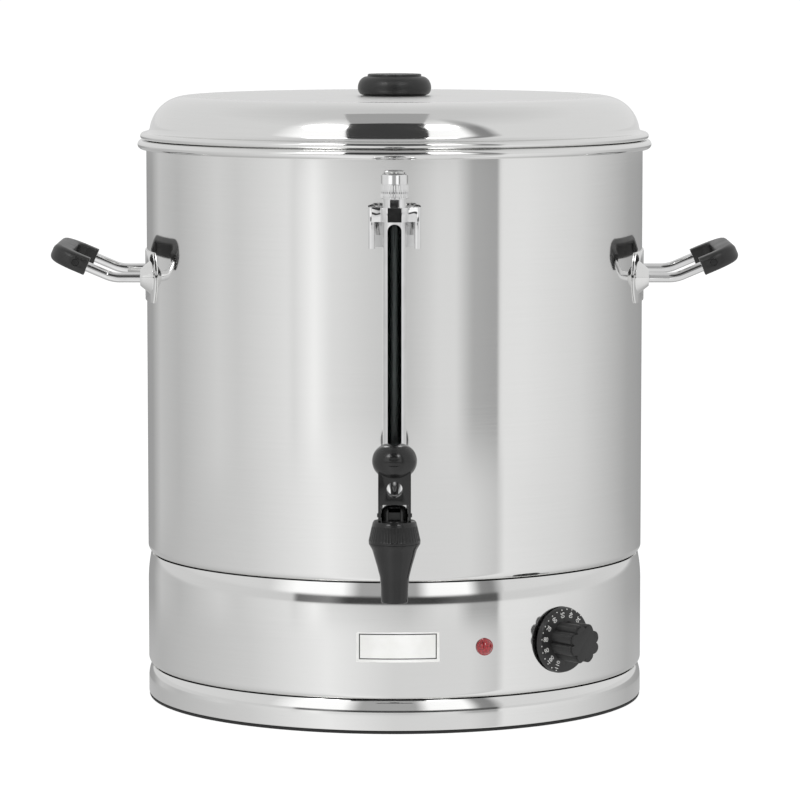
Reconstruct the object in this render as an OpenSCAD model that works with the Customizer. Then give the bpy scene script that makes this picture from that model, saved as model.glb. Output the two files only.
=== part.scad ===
// Hot water urn of the 40 litre class: a single-wall steel tank on a base housing, with a lift-off
// lid, two carrying handles, a sight gauge, a spring-closed tap and a dial thermostat.
// +Z is up from the table, the front faces -Y, and the body axis stands on the origin.

/* [Body] */
// Outer diameter of the tank, the base housing and the base ring
body_d = 400; // [360:5:440]
// Thickness of the steel sheet
sheet_t = 0.8; // [0.6:0.1:1.2]
// Height of the tank wall, from the base housing to the middle of the rim bead
wall_h = 329.6; // [290:0.1:400]
// Diameter of the bead rolled round the rim
bead_d = 7.5; // [6:0.5:9]
// Height of the base housing, which holds the electrics
housing_h = 91.4; // [86:0.1:120]
// Height of the base ring above its rubber edging
ring_h = 23.8; // [20:0.1:40]
// Depth of the grooves between ring, housing and tank
groove = 2.4; // [1.5:0.1:3]
// Radius of the tight shoulder on top of the base ring
ring_shoulder_r = 11.5; // [9:0.5:14]
// Radius of the gentle shoulder on top of the base housing
housing_shoulder_r = 31; // [24:0.5:38]
// Radius of the rounded lower edges of the housing and the tank
edge_r = 6.4; // [4:0.2:9]
// Width of the flat ledges that are turned in where the shells meet
ledge_w = 18; // [16:1:24]
// Thickness of the rubber edging that the ring stands on
edging_t = 2.2; // [1.5:0.1:4]
// Thickness of the tank floor
floor_t = 1.2; // [0.8:0.1:2]
// Number of screws that hold the bottom plate
plate_screws = 6; // [4:1:8]
// Number of vent slots in the bottom plate
vent_slots = 18; // [8:1:24]

/* [Lid] */
// Height of the lid's flat top above the rim bead's middle
lid_rise = 38.5; // [32:0.5:48]
// Radius of the lid's rounded shoulder
lid_shoulder_r = 30; // [20:1:32]
// Outer diameter of the lid's rolled edge
lid_d = 409.6; // [409:0.1:414]
// Height of the lid's rolled edge
lid_edge_h = 5.5; // [4.5:0.5:7]
// Depth of the skirt that hangs inside the tank
lid_skirt_h = 9; // [6:0.5:16]
// Clearance between the skirt and the tank wall
lid_play = 1.5; // [0.8:0.1:2.5]
// Largest diameter of the lid knob
knob_d = 59.2; // [50:0.2:70]
// Height of the lid knob
knob_h = 17.5; // [15:0.5:24]

/* [Handles] */
// Height of the handle rods above the table
handle_z = 342.4; // [300:0.1:400]
// Distance between the two rods of a handle
handle_w = 104; // [90:1:120]
// Diameter of the handle rod
rod_d = 8; // [6:0.5:10]
// Distance from the tank wall to the bend of the rod
handle_out = 24.5; // [20:0.5:30]
// Rise of the handle beyond the bend, in degrees
handle_rise = 23; // [10:1:35]
// Length of the rising part, from the bend to the middle of the crossbar
handle_reach = 46; // [42:1:60]
// Bend radius of the handle's corners
handle_corner_r = 15; // [12:1:20]
// Width of the grip moulding, seen from above
grip_w = 15; // [13:0.5:17]
// Height of the grip moulding
grip_h = 14.4; // [12.4:0.2:18]
// Length of each grip leg before its corner
grip_leg = 8.5; // [6:0.5:14]
// Rounding of the grip's outer edges
grip_round = 5; // [3:0.5:6]
// Height of the plate behind the two rods
foot_h = 40; // [32:1:50]
// Width of that plate, straight across
foot_w = 132; // [120:1:150]

/* [Sight gauge] */
// Distance from the tank wall to the gauge axis
gauge_out = 26; // [24:0.5:32]
// Outer diameter of the chromed guard tube
guard_d = 18; // [17:0.5:20]
// Wall of the guard tube
guard_wall = 1; // [0.8:0.1:1.4]
// Width of the window in the guard
window_w = 10.6; // [9:0.2:12]
// Height of the top of the window
window_top = 396; // [380:1:400]
// Outer diameter of the gauge glass
glass_d = 12; // [11:0.5:13]
// Wall of the gauge glass
glass_wall = 1.5; // [1:0.1:2]
// Height of the top edge of the gauge bracket
bracket_top = 408.5; // [400:0.5:416]
// Height of the gauge bracket
bracket_h = 31.5; // [28:0.5:36]
// Width of the gauge bracket
bracket_w = 40; // [38:1:46]
// Height of the bracket's bridge band
bridge_h = 11; // [9:0.5:13]
// Height of the neck that shows between the bracket and the cap
gauge_neck = 6.5; // [4:0.5:9]
// Outer diameter of the cap's knurled band
cap_d = 21.3; // [20.5:0.1:24]
// Height of the gauge cap
cap_h = 18.5; // [16:0.5:24]

/* [Tap] */
// Distance from the tank wall to the tap axis
tap_out = 58; // [56:0.5:64]
// Height of the shank that carries the tap
shank_z = 148; // [146:0.5:160]
// Diameter of the shank thread
shank_d = 20; // [18:1:22]
// Bore of the water way
water_bore = 10; // [7:0.5:11]
// Height of the nozzle tip above the table
nozzle_z = 111.7; // [105:0.1:116]
// Outer diameter of the nozzle tip
nozzle_d = 20.4; // [19.6:0.2:23]
// Bore of the nozzle tip
nozzle_bore = 15.4; // [13:0.2:16]
// Largest diameter of the bonnet
bonnet_d = 39.3; // [38:0.1:42]
// Height of the bonnet's knurled ring
bonnet_h = 16.9; // [15:0.1:20]
// Diameter of the domed hub on the bonnet
hub_d = 20; // [19:0.5:22]
// Diameter of the valve stem
stem_d = 4; // [3.5:0.5:4.5]
// Lift of the valve at full tilt of the lever
valve_lift = 3.2; // [2.4:0.1:3.6]
// Full tilt of the lever, in degrees
lever_tilt = 30; // [20:1:35]
// Width of the lever's neck
lever_w = 24.7; // [24:0.1:28]
// Diameter of the lever's ball
ball_d = 34; // [30:0.5:38]
// Height of the ball's middle above the lever pin
ball_up = 41.2; // [38:0.2:48]
// Diameter of the hole through the lever
lever_hole = 12; // [8:0.5:14]
// Diameter of the lever pin
pin_d = 3; // [2.5:0.1:3.5]

/* [Controls] */
// Height of the thermostat knob and the lamp above the table
control_z = 66.5; // [60:0.5:75]
// Place of the thermostat knob round the housing, in degrees from the front
dial_at = 40.3; // [36:0.1:50]
// Place of the lamp round the housing, in degrees from the front
lamp_at = 20.3; // [14:0.1:24]
// Diameter of the dial skirt
dial_d = 52; // [46:1:56]
// Thickness of the dial skirt
dial_t = 4.5; // [3.5:0.5:6]
// Diameter over the lobes of the dial's grip
dial_grip_d = 31.5; // [26:0.5:36]
// Distance from the housing to the end of the dial's grip
dial_out = 29; // [24:0.5:34]
// Number of lobes on the dial's grip
dial_lobes = 8; // [6:1:10]
// Diameter of the lamp lens
lamp_d = 13.5; // [12:0.5:16]
// Hole in the cable gland for the mains lead
gland_bore = 8; // [6:0.5:10]

/* [Clearances] */
// Running clearance round shafts and pins, on the radius
run_gap = 0.05; // [0.03:0.01:0.08]
// Clearance between curved faces that are fixed together
seat_gap = 0.1; // [0.05:0.05:0.2]
// Clearance between pieces that move past each other
move_gap = 0.3; // [0.2:0.1:0.5]

/* [Hidden] */
$fn = 64;
body_r = body_d / 2;
inner_r = body_r - sheet_t;
ledge_r = body_r - ledge_w;
ring_top = edging_t + ring_h;
housing_top = ring_top + housing_h;
floor_z = housing_top + sheet_t;
floor_top = floor_z + floor_t;
rim_z = housing_top + wall_h;
rim_foot = rim_z - bead_d / 2;
bead_top = rim_z + bead_d / 2;
plate_t = sheet_t;
plate_z = ring_top - sheet_t - plate_t;
screw_circle = body_r - 13;
m4_r = 2;
m4_head_r = 3.6;
m4_head_h = 2.4;
m3_r = 1.5;
m3_head_r = 2.8;

lid_under = bead_top + move_gap;
lid_top = rim_z + lid_rise;
skirt_r = inner_r - lid_play;
knob_base_d = knob_d - 8;
knob_top_d = knob_d - 17;

rod_r = rod_d / 2;
bend_r = 28;
bend_len = bend_r * tan(handle_rise / 2);
bend_x = body_r + handle_out;
corner_s = handle_reach - handle_corner_r;
corner_y = handle_w / 2 - handle_corner_r;
grip_screw_s = corner_s + 1;
foot_y = handle_w / 2;
foot_x = sqrt(body_r * body_r - foot_y * foot_y);
foot_at = asin(foot_y / body_r);
foot_t = 1.3;
foot_bulge = 6;
boss_r = 13;
boss_h = 9.5;

gauge_y = -(body_r + gauge_out);
guard_r = guard_d / 2;
glass_r = glass_d / 2;
neck_top = bracket_top + gauge_neck;
cap_top = neck_top + cap_h;
bracket_z = bracket_top - bracket_h;
stud_z = bracket_z + bracket_h / 2;
stud_r = 4;
socket_top = shank_z + 22;
guard_z = socket_top - 5;
glass_z = shank_z + 6;

tap_y = -(body_r + tap_out);
shank_r = shank_d / 2;
water_r = water_bore / 2;
nozzle_r = nozzle_d / 2;
bonnet_z = shank_z + 8.9;
bonnet_r = bonnet_d / 2;
bonnet_top_r = bonnet_r - 3.2;
bonnet_top = bonnet_z + bonnet_h;
seat_z = shank_z - 7;
chamber_r = 11;
neck_r = bonnet_r - 4.1;
plate_under = bonnet_top - 7.8;
stem_r = stem_d / 2;
pin_r = pin_d / 2;
pin_z = bonnet_top + 4.2;
cam_h = 4;
cam_r = valve_lift / (lever_tilt * PI / 180);
head_w = 8.7;
head_d = 8;
head_z = bonnet_top + 0.8;
head_h = 6;
hub_r = hub_d / 2;
hub_h = 12.2;
lever_front = (cam_h + valve_lift) * sin(lever_tilt) + cam_r * cos(lever_tilt);
lever_back = 8;
fork_h = hub_h - (pin_z - bonnet_top) + 0.9;
joint_y = tap_y + bonnet_r + 0.85;
spigot_r = water_r + 1.6;
spigot_len = 7;

spindle_r = 3;
dial_gap = 1;
element_r = 4;
element_ring_r = body_r / 2;
element_bend = 14;
element_run = 2;
element_z = floor_top + 14 + element_bend;
element_from = 110;
element_to = 430;

// Points along an arc round the centre c, from angle a0 to angle a1.
function arc(c, r, a0, a1, n = 8) =
    [for (i = [0 : n]) c + r * [cos(a0 + (a1 - a0) * i / n), sin(a0 + (a1 - a0) * i / n)]];

// The unit normal to the left of the step from a to b.
function left(a, b) = let (u = (b - a) / norm(b - a)) [-u[1], u[0]];

// The path p moved by t to its left, with mitred corners.
function moved(p, t) = [
    for (i = [0 : len(p) - 1])
        let (
            before = left(p[max(i - 1, 0)], p[max(i, 1)]),
            after = left(p[min(i, len(p) - 2)], p[min(i + 1, len(p) - 1)]),
            mid = (before + after) / norm(before + after)
        )
        p[i] + mid * t / (mid * before)
];

// A pressed or spun shell: the path p is its outer face and t its sheet, to the left of p.
module spun_shell(p, t, smooth = 96) {
    back = moved(p, t);
    rotate_extrude($fn = smooth)
        polygon(concat(p, [for (i = [len(p) - 1 : -1 : 0]) back[i]]));
}

// The shoulder of radius r that runs up from the side and in to the groove, with its top at z.
function shoulder(r, z) =
    let (turn = acos(1 - groove / r))
    concat(arc([body_r - r, z - r * sin(turn)], r, 0, turn, 6), [[ledge_r, z]]);

// The rounded lower edge that starts from a ledge at z.
function lower_edge(z) =
    concat([[ledge_r, z]], arc([body_r - edge_r, z + edge_r], edge_r, -90, 0, 6));

// Places a piece on the wall: its x runs round to the right, y is up and z points out.
module on_wall(at, z) {
    translate([body_r * sin(at), -body_r * cos(at), z]) rotate([0, 0, at]) rotate([90, 0, 0])
        children();
}

// Lays a piece on its side, so that its z points to the front.
module to_front(y, z) {
    translate([0, y, z]) rotate([90, 0, 0]) children();
}

module ring(r_out, r_in, h) {
    difference() {
        cylinder(r = r_out, h = h);
        translate([0, 0, -1]) cylinder(r = r_in, h = h + 2);
    }
}

// A straight length between two elbows: it is a hair thinner than they are and runs on into them.
module bar(r, h) {
    translate([0, 0, -0.4]) cylinder(r = r - 0.02, h = h + 0.8);
}

// A block that fills the tank as far as r, drawn finely so that what it cuts hugs the wall.
module inside_wall(r) {
    cylinder(r = r, h = rim_z, $fn = 240);
}

// A hexagon nut of the width w across its flats.
module hex_nut(w, r_in, h) {
    difference() {
        cylinder(d = w / cos(30), h = h, $fn = 6);
        translate([0, 0, -1]) cylinder(r = r_in, h = h + 2);
    }
}

module rounded_rect(w, h, r) {
    square([w - 2 * r, h], center = true);
    square([w, h - 2 * r], center = true);
    for (x = [-1, 1], y = [-1, 1])
        translate([x * (w / 2 - r), y * (h / 2 - r)]) circle(r, $fn = 32);
}

// ---- Base ----

module rubber_edging() {
    lip = 6;
    color("#202020")
        rotate_extrude($fn = 96) polygon([
            [body_r - lip - 2, 0],
            [body_r - 1.2, 0],
            [body_r - 0.4, 0.8],
            [body_r - 0.4, edging_t],
            [body_r - lip, edging_t],
            [body_r - lip, edging_t + sheet_t],
            [body_r - lip + 3, edging_t + sheet_t],
            [body_r - lip + 3, edging_t + sheet_t + 2],
            [body_r - lip - 2, edging_t + sheet_t + 2]
        ]);
}

module base_ring() {
    foot_turn = 5.8;
    roll = 1.6;
    color("#c8c8c8") difference() {
        spun_shell(concat(
            [[body_r - foot_turn, edging_t]],
            arc([body_r - roll, edging_t + roll], roll, -90, 0, 4),
            shoulder(ring_shoulder_r, ring_top)
        ), sheet_t);
        plate_screw_holes();
    }
}

module plate_screw_holes() {
    for (i = [0 : plate_screws - 1]) rotate([0, 0, (i + 0.5) * 360 / plate_screws])
        translate([0, screw_circle, plate_z - 1])
            cylinder(r = m4_r + seat_gap, h = 3 * sheet_t + 2, $fn = 24);
}

module bottom_plate() {
    slot_l = 36;
    slot_w = 5;
    slot_r = 110;
    color("#b4b4b4") difference() {
        translate([0, 0, plate_z]) cylinder(r = body_r - 8, h = plate_t, $fn = 96);
        plate_screw_holes();
        for (i = [0 : vent_slots - 1]) rotate([0, 0, (i + 0.5) * 360 / vent_slots])
            translate([slot_r - slot_l / 2, 0, plate_z - 1]) {
                translate([0, -slot_w / 2, 0]) cube([slot_l, slot_w, plate_t + 2]);
                for (x = [0, slot_l]) translate([x, 0, 0]) cylinder(d = slot_w, h = plate_t + 2, $fn = 24);
            }
    }
}

module plate_screws() {
    shank = 3 * sheet_t + 4;
    color("#d0d0d0")
        for (i = [0 : plate_screws - 1]) rotate([0, 0, (i + 0.5) * 360 / plate_screws])
            translate([0, screw_circle, plate_z]) {
                cylinder(r = m4_r, h = shank, $fn = 24);
                translate([0, 0, -m4_head_h]) difference() {
                    cylinder(r = m4_head_r, h = m4_head_h, $fn = 32);
                    for (a = [0, 90]) rotate([0, 0, a])
                        translate([-2.2, -0.5, -1]) cube([4.4, 1, 2.2]);
                }
            }
}

module base_housing() {
    color("#c8c8c8") difference() {
        spun_shell(concat(lower_edge(ring_top), shoulder(housing_shoulder_r, housing_top)), sheet_t);
        plate_screw_holes();
        on_wall(lamp_at, control_z) translate([0, 0, -5]) cylinder(r = lamp_body_r() + 0.3, h = 10);
        on_wall(dial_at, control_z) translate([0, 0, -5]) {
            cylinder(r = spindle_r + 2, h = 10, $fn = 32);
            for (y = dial_screws()) translate([0, y, 0]) cylinder(r = m4_r + seat_gap, h = 10, $fn = 24);
        }
        on_wall(180, control_z) translate([0, 0, -5]) cylinder(r = gland_neck_r() + 0.3, h = 10);
    }
}

// ---- Tank ----

module tank_wall() {
    color("#c8c8c8") difference() {
        spun_shell(concat(lower_edge(housing_top), [[body_r, rim_foot]]), sheet_t);
        to_front(-body_r + 10, shank_z) cylinder(r = shank_r + 0.3, h = 20);
        to_front(-body_r + 10, stud_z) cylinder(r = stud_r + 0.3, h = 20, $fn = 32);
    }
}

// The rim, whose edge is rolled over a wire into a bead, is welded on the wall.
module tank_rim() {
    color("#d0d0d0") {
        rotate_extrude($fn = 96) translate([body_r - sheet_t, rim_foot])
            square([sheet_t, rim_z - rim_foot]);
        rotate_extrude($fn = 96) translate([body_r - sheet_t + bead_d / 2 + 0.3, rim_z])
            circle(d = bead_d, $fn = 32);
    }
}

module tank_floor() {
    color("#bcbcbc") difference() {
        union() {
            translate([0, 0, floor_z]) cylinder(r = body_r - edge_r - 0.6, h = floor_t, $fn = 96);
            for (x = cutout_studs()) translate([x, 0, floor_z - 8]) cylinder(r = 1.5, h = 9, $fn = 24);
        }
        for (p = element_legs()) translate([p[0], p[1], floor_z - 1])
            cylinder(r = bush_r() + 0.3, h = floor_t + 2, $fn = 32);
    }
}

// ---- Lid ----

function lid_path() =
    let (
        roll_r = lid_edge_h / 2,
        roll_x = lid_d / 2 - roll_r,
        dome_x = skirt_r - 0.2 - lid_shoulder_r,
        dome_z = lid_top - lid_shoulder_r,
        foot = asin(max((lid_under + lid_edge_h + 4.4 - dome_z) / lid_shoulder_r, 0))
    )
    concat(
        [[skirt_r, lid_under - lid_skirt_h], [skirt_r, lid_under]],
        arc([roll_x, lid_under + roll_r], roll_r, -90, 90, 8),
        [[skirt_r + 1.2, lid_under + lid_edge_h + 1.5]],
        arc([dome_x, dome_z], lid_shoulder_r, foot, 90, 10),
        [[m3_r + 0.2, lid_top]]
    );

module lid() {
    color("#c8c8c8") spun_shell(lid_path(), sheet_t);
}

module lid_knob() {
    base_r = knob_base_d / 2;
    top_r = knob_top_d / 2;
    belly_z = knob_h * 0.36;
    lip_z = knob_h - 2.2;
    belly = knob_d / 2 - base_r;
    crown_w = knob_d / 2 - top_r;
    color("#262626") translate([0, 0, lid_top]) difference() {
        rotate_extrude($fn = 96) polygon(concat(
            [[0, 0], [base_r, 0]],
            [for (a = [-60 : 20 : 0]) [base_r + belly * cos(a), belly_z * (1 + sin(a) / sin(60)) ]],
            [for (a = [15 : 15 : 60])
                [top_r + crown_w * cos(a) ^ 0.9, belly_z + (lip_z - belly_z) * sin(a) / sin(75)]],
            [[top_r + 0.6, lip_z], [top_r, lip_z + 0.6], [top_r, knob_h - 0.6],
             [top_r - 0.6, knob_h], [0, knob_h]]
        ));
        translate([0, 0, -1]) ring(base_r - 4, 7.5, 7);
        translate([0, 0, -1]) cylinder(r = m3_r + run_gap, h = knob_h - 4, $fn = 24);
    }
}

module lid_knob_screw() {
    washer_t = 1;
    color("#d0d0d0") translate([0, 0, lid_top - sheet_t - washer_t]) {
        cylinder(r = m3_r, h = sheet_t + washer_t + knob_h - 6, $fn = 24);
        translate([0, 0, -m4_head_h]) difference() {
            cylinder(r = m3_head_r, h = m4_head_h, $fn = 32);
            for (a = [0, 90]) rotate([0, 0, a]) translate([-2.2, -0.5, -1]) cube([4.4, 1, 2.2]);
        }
    }
}

module lid_knob_washer() {
    color("#b8b8b8") translate([0, 0, lid_top - sheet_t - 1]) ring(6.5, m3_r + seat_gap, 1);
}

// ---- Handles ----

// Draws a piece of the right handle, and its mirror image for the left one.
module handed(side) {
    mirror([side < 0 ? 1 : 0, 0, 0]) children();
}

// The frame of the rising part: x runs up the slope, z stands off it.
module on_slope() {
    translate([bend_x, 0, handle_z]) rotate([0, -handle_rise, 0]) children();
}

// Sweeps a section round the two corners of the U in the rising part.
module round_the_corners() {
    for (m = [0, 1]) mirror([0, m, 0]) translate([corner_s, corner_y, 0]) rotate_extrude(angle = 90)
        translate([handle_corner_r, 0]) children();
}

module handle_rod(side) {
    start = foot_x + 3.5;
    level = bend_x - bend_len - start;
    color("#d8d8d8") handed(side) {
        for (y = [-foot_y, foot_y]) translate([start, y, handle_z]) {
            rotate([0, 90, 0]) bar(rod_r, level);
            translate([level, 0, bend_r]) rotate([90, 0, 0]) rotate([0, 0, -90])
                rotate_extrude(angle = handle_rise) translate([bend_r, 0]) circle(rod_r);
        }
        on_slope() {
            for (y = [-foot_y, foot_y]) translate([bend_len, y, 0]) rotate([0, 90, 0])
                bar(rod_r, corner_s - bend_len);
            round_the_corners() circle(rod_r);
            translate([handle_reach, corner_y, 0]) rotate([90, 0, 0]) bar(rod_r, 2 * corner_y);
        }
    }
}

// One plate hugs the wall behind both rods, with a drawn cone round each.
module handle_plate(side) {
    end_r = (foot_h * foot_h / 4 + foot_bulge * foot_bulge) / (2 * foot_bulge);
    face_x = foot_x + boss_h;
    color("#d0d0d0") handed(side) difference() {
        union() {
            intersection() {
                translate([body_r / 2, 0, handle_z]) rotate([90, 0, 90]) linear_extrude(body_r) intersection() {
                    square([foot_w + 10, foot_h], center = true);
                    union() {
                        square([foot_w - 2 * end_r, 2 * foot_h], center = true);
                        for (m = [-1, 1]) translate([m * (foot_w / 2 - end_r), 0]) circle(end_r, $fn = 96);
                    }
                }
                inside_wall(body_r + foot_t);
            }
            intersection() {
                for (m = [-1, 1]) rotate([0, 0, m * (foot_at - 0.7)]) translate([body_r, 0, handle_z])
                    rotate([0, 90, 0]) rotate_extrude() polygon([
                        [0, -3], [boss_r, -3], [boss_r, foot_t + 0.2], [boss_r - 0.5, foot_t + 0.7],
                        [5.2, boss_h + 1.5], [0, boss_h + 1.5]
                    ]);
                translate([0, -body_r, handle_z - body_r]) cube([face_x, 2 * body_r, 2 * body_r]);
            }
        }
        inside_wall(body_r + seat_gap);
        for (y = [-foot_y, foot_y]) translate([foot_x + 3 - seat_gap, y, handle_z]) rotate([0, 90, 0])
            cylinder(r = rod_r + run_gap, h = 30);
    }
}

// The grip's section, with its outer side to the right.
module grip_section() {
    inner = 2.5;
    difference() {
        union() {
            translate([inner - grip_w / 2, -grip_h / 2]) square([grip_w - inner - grip_round, grip_h]);
            translate([-grip_w / 2, inner - grip_h / 2]) square([grip_w / 2, grip_h - 2 * inner]);
            translate([0, grip_round - grip_h / 2]) square([grip_w / 2, grip_h - 2 * grip_round]);
            for (m = [-1, 1]) {
                translate([inner - grip_w / 2, m * (grip_h / 2 - inner)]) circle(inner, $fn = 32);
                translate([grip_w / 2 - grip_round, m * (grip_h / 2 - grip_round)])
                    circle(grip_round, $fn = 32);
            }
        }
        circle(rod_r + seat_gap);
    }
}

module grip(side) {
    color("#1e1e1e") handed(side) on_slope() difference() {
        union() {
            for (m = [0, 1]) mirror([0, m, 0]) translate([corner_s - grip_leg, foot_y, 0])
                rotate([90, 0, 90]) linear_extrude(grip_leg) grip_section();
            round_the_corners() grip_section();
            translate([handle_reach, corner_y, 0]) rotate([90, 0, 0])
                linear_extrude(2 * corner_y) grip_section();
        }
        for (m = [0, 1]) mirror([0, m, 0]) translate([grip_screw_s, handle_w / 2, 0]) rotate([-90, 0, 0]) {
            cylinder(r = 1.6, h = grip_w, $fn = 24);
            translate([0, 0, grip_w / 2 - 2]) cylinder(r = 2.9, h = 10, $fn = 24);
        }
    }
}

module grip_screws(side) {
    color("#d0d0d0") handed(side) on_slope() for (m = [0, 1]) mirror([0, m, 0])
        translate([grip_screw_s, handle_w / 2, 0]) rotate([-90, 0, 0]) {
            translate([0, 0, rod_r + seat_gap]) cylinder(r = 1.5, h = grip_w / 2 - 2 - rod_r, $fn = 24);
            translate([0, 0, grip_w / 2 - 2]) cylinder(r = 2.6, h = 1.4, $fn = 24);
        }
}

// ---- Sight gauge ----

module gauge_base() {
    flange_y = -(body_r + 2);
    thread_end = 22;
    color("#c4c4c4") difference() {
        union() {
            to_front(flange_y, shank_z) cylinder(r = shank_r + 5, h = 3);
            to_front(flange_y, shank_z) cylinder(r = shank_r + 3, h = flange_y - joint_y);
            to_front(-body_r + thread_end, shank_z) cylinder(r = shank_r, h = thread_end + 3);
            to_front(joint_y + 1, shank_z) cylinder(r = spigot_r, h = spigot_len + 1);
            translate([0, gauge_y, shank_z]) cylinder(r = guard_r + 2, h = socket_top - shank_z);
        }
        to_front(-body_r + thread_end + 1, shank_z)
            cylinder(r = water_r, h = thread_end + 2 - body_r - joint_y + spigot_len);
        translate([0, gauge_y, shank_z]) cylinder(r = glass_r - glass_wall, h = 30, $fn = 32);
        translate([0, gauge_y, glass_z]) cylinder(r = glass_r + 0.2, h = 30);
        translate([0, gauge_y, guard_z]) cylinder(r = guard_r + run_gap, h = 30);
    }
}

module shank_washers() {
    color("#9a9a9a") {
        difference() {
            to_front(-body_r + 4, shank_z) ring(shank_r + 5, shank_r + seat_gap, 6);
            inside_wall(body_r + seat_gap);
        }
        intersection() {
            to_front(-inner_r + 3, shank_z) ring(shank_r + 6, shank_r + seat_gap, 6);
            inside_wall(inner_r - seat_gap);
        }
    }
}

module shank_nut() {
    color("#c4c4c4") to_front(-inner_r + 10, shank_z) hex_nut(2 * shank_r + 8, shank_r + seat_gap, 7);
}

module gauge_glass() {
    color([0.9, 0.95, 0.95, 0.4]) translate([0, gauge_y, glass_z + 1.5])
        ring(glass_r, glass_r - glass_wall, cap_top - 4 - glass_z - 1.5, $fn = 48);
}

module gauge_guard() {
    window_foot = pin_z + ball_up - 6;
    color("#d8d8d8") difference() {
        translate([0, gauge_y, guard_z]) ring(guard_r, guard_r - guard_wall, cap_top - 7 - guard_z);
        to_front(gauge_y, 0) {
            for (z = [window_foot, window_top - window_w / 2]) translate([0, z, 0])
                cylinder(d = window_w, h = 20);
            translate([-window_w / 2, window_foot, 0])
                cube([window_w, window_top - window_w / 2 - window_foot, 20]);
        }
    }
}

module gauge_bracket() {
    rib_w = 5.5;
    rib_x = bracket_w / 2 - rib_w / 2;
    saddle_r = guard_r + 1.8;
    back_y = -body_r + 6;
    color("#d4d4d4") difference() {
        union() {
            translate([-bracket_w / 2, -(body_r + 4), bracket_z]) cube([bracket_w, 10, bracket_h]);
            for (x = [-rib_x, rib_x]) {
                translate([x - rib_w / 2, gauge_y + 2, bracket_z])
                    cube([rib_w, back_y - gauge_y - 2, bracket_h]);
                translate([x, gauge_y + 2, bracket_z]) cylinder(d = rib_w, h = bracket_h, $fn = 32);
            }
            translate([0, gauge_y, bracket_top - bridge_h]) cylinder(r = saddle_r, h = bridge_h);
            translate([-rib_x, gauge_y - 2, bracket_top - bridge_h]) cube([2 * rib_x, 6, bridge_h]);
            to_front(-body_r + 16, stud_z) cylinder(r = stud_r, h = 20, $fn = 32);
        }
        translate([0, gauge_y, bracket_z - 1]) cylinder(r = guard_r + run_gap, h = bracket_h + 2);
        difference() {
            inside_wall(body_r + seat_gap);
            to_front(-body_r + 17, stud_z) cylinder(r = stud_r, h = 20, $fn = 32);
        }
    }
}

module bracket_washer() {
    color("#b8b8b8") intersection() {
        to_front(-inner_r + 2, stud_z) ring(stud_r + 5, stud_r + seat_gap, 6);
        inside_wall(inner_r - seat_gap);
    }
}

module bracket_nut() {
    color("#c4c4c4") to_front(-inner_r + 8, stud_z) hex_nut(13, stud_r + seat_gap, 6);
}

module gauge_cap() {
    band_h = cap_h * 0.615;
    knurls = 36;
    color("#d8d8d8") translate([0, gauge_y, neck_top]) difference() {
        rotate_extrude() polygon([
            [0, 0.4], [cap_d / 2 - 0.4, 0], [cap_d / 2, 0.5], [cap_d / 2, band_h - 0.4],
            [cap_d / 2 - 0.5, band_h], [cap_d / 2 - 0.5, cap_h - 0.6], [cap_d / 2 - 1.1, cap_h],
            [0, cap_h]
        ]);
        translate([0, 0, -1]) cylinder(r = guard_r + run_gap, h = cap_h - 2.2);
        for (i = [0 : knurls - 1]) rotate([0, 0, i * 360 / knurls]) translate([cap_d / 2 + 0.35, 0, 1])
            cylinder(r = 0.7, h = band_h - 2, $fn = 16);
        cylinder(r = 1, h = cap_h + 1, $fn = 24);
    }
}

module cap_washer() {
    color("#d8d8d0") translate([0, gauge_y, cap_top - 4])
        ring(guard_r - move_gap, glass_r - glass_wall - 0.5, 0.8);
}

module glass_seal() {
    color("#d8d8d0") translate([0, gauge_y, glass_z]) ring(glass_r, glass_r - glass_wall, 1.5);
}

// ---- Tap ----

module tap_body() {
    color("#232323") translate([0, tap_y, 0]) difference() {
        union() {
            rotate_extrude() polygon([
                [0, nozzle_z], [nozzle_r - 0.6, nozzle_z], [nozzle_r, nozzle_z + 0.6],
                [nozzle_r, nozzle_z + 4], [nozzle_r + 0.3, nozzle_z + 12],
                [nozzle_r + 0.9, seat_z - 10], [nozzle_r + 1.8, seat_z - 6.5],
                [nozzle_r + 3.1, seat_z - 1.5], [bonnet_r - 5, seat_z + 3],
                [bonnet_r - 2.7, bonnet_z - 5], [bonnet_r - 0.2, bonnet_z - 0.6],
                [bonnet_r - 0.2, bonnet_z],
                [neck_r, bonnet_z], [neck_r, plate_under - 0.5], [0, plate_under - 0.5]
            ]);
            to_front(joint_y - tap_y, shank_z)
                cylinder(r = bonnet_z - shank_z - 0.4, h = joint_y - tap_y);
        }
        translate([0, 0, nozzle_z - 1]) cylinder(r = nozzle_bore / 2, h = 17);
        translate([0, 0, nozzle_z]) cylinder(r = nozzle_bore / 2 - 1.5, h = 40);
        translate([0, 0, seat_z]) cylinder(r = chamber_r, h = 40);
        to_front(joint_y - tap_y + 1, shank_z) cylinder(r = spigot_r + seat_gap, h = spigot_len + 1.2);
        to_front(joint_y - tap_y, shank_z) cylinder(r = water_r, h = joint_y - tap_y);
    }
}

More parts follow.
